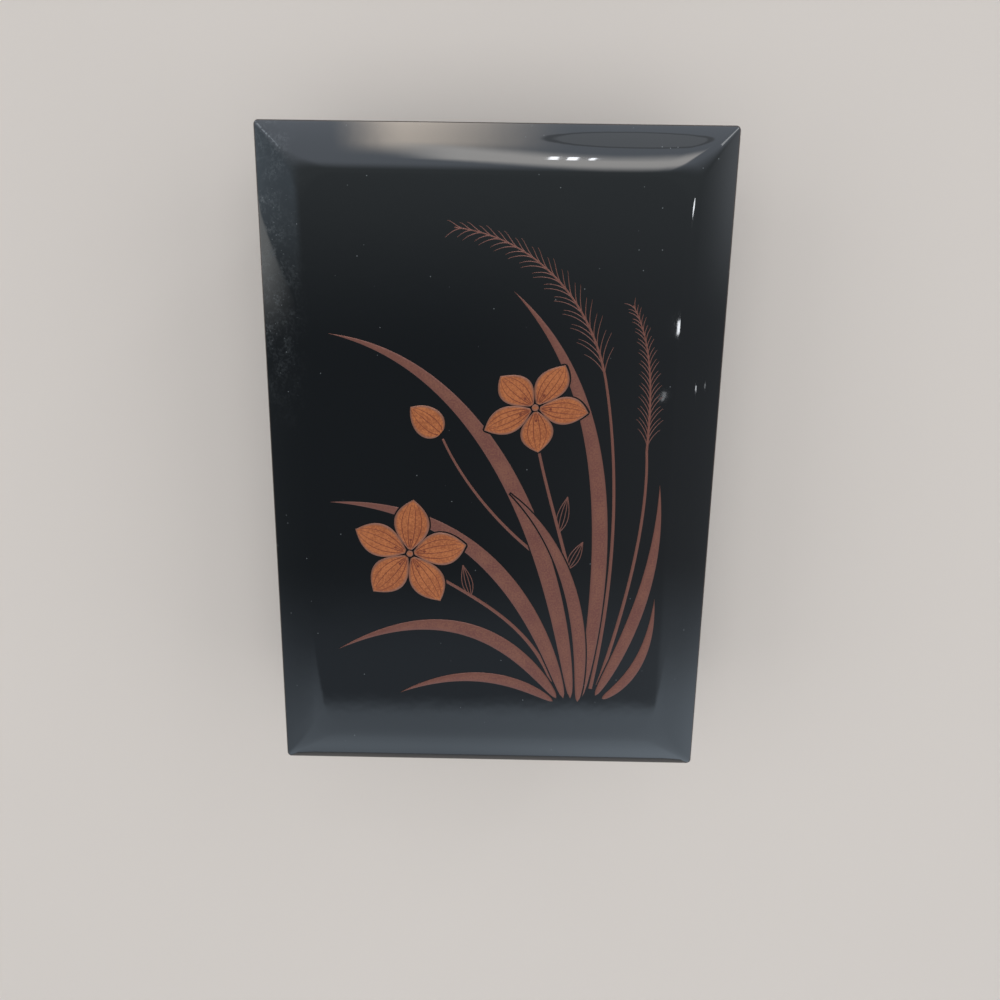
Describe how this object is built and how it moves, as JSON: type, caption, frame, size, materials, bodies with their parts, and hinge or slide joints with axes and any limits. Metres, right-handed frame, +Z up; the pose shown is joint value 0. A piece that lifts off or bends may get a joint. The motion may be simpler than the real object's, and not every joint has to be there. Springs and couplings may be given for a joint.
{
  "type": "lacquer box",
  "caption": "Shallow rectangular black lacquer box with an overlapping lift-off lid, a bevelled flat top and a raised grass and bellflower ornament.",
  "frame": {"origin": "centre of the footprint, on the plane that the box stands on", "axes": "+Z up through the lid, +Y along the long side, towards the ornament's upper end, +X to the right as the ornament is looked at"},
  "size_m": [0.12, 0.1746, 0.0525],
  "materials": {
    "black_lacquer": "board coated with black lacquer and polished to a mirror gloss",
    "bare_wood": "sawn wooden slip, glued in under the lacquer",
    "copper_powder": "copper powder sprinkled on raised lacquer, fine grained satin",
    "gold_powder": "gold powder sprinkled on raised lacquer, fine grained satin"
  },
  "bodies": {
    "box": {"base_board": "black_lacquer", "box_wall_front": "black_lacquer", "box_wall_right": "black_lacquer", "box_wall_back": "black_lacquer", "box_wall_left": "black_lacquer", "box_key_front_left_1": "bare_wood", "box_key_front_left_2": "bare_wood", "box_key_front_right_1": "bare_wood", "box_key_front_right_2": "bare_wood", "box_key_back_right_1": "bare_wood", "box_key_back_right_2": "bare_wood", "box_key_back_left_1": "bare_wood", "box_key_back_left_2": "bare_wood"},
    "lid": {"lid_top_board": "black_lacquer", "lid_wall_front": "black_lacquer", "lid_wall_right": "black_lacquer", "lid_wall_back": "black_lacquer", "lid_wall_left": "black_lacquer", "lid_key_front_left": "bare_wood", "lid_key_front_right": "bare_wood", "lid_key_back_right": "bare_wood", "lid_key_back_left": "bare_wood", "bellflower_stalk_upper": "copper_powder", "bellflower_stalk_lower": "copper_powder", "grass_plume_upper": "copper_powder", "grass_plume_right": "copper_powder", "grass_blade_tall": "copper_powder", "grass_blade_high": "copper_powder", "grass_blade_middle": "copper_powder", "grass_blade_right": "copper_powder", "grass_blade_short": "copper_powder", "grass_blade_inner": "copper_powder", "grass_blade_low": "copper_powder", "grass_blade_bottom": "copper_powder", "bellflower_upper": "gold_powder", "bellflower_lower": "gold_powder", "bellflower_bud": "gold_powder"}
  },
  "joints": [
    {"name": "lid_lift", "type": "slide", "parent": "box", "child": "lid", "axis": [0, 0, 1], "range_m": [0, 0.045]}
  ]
}
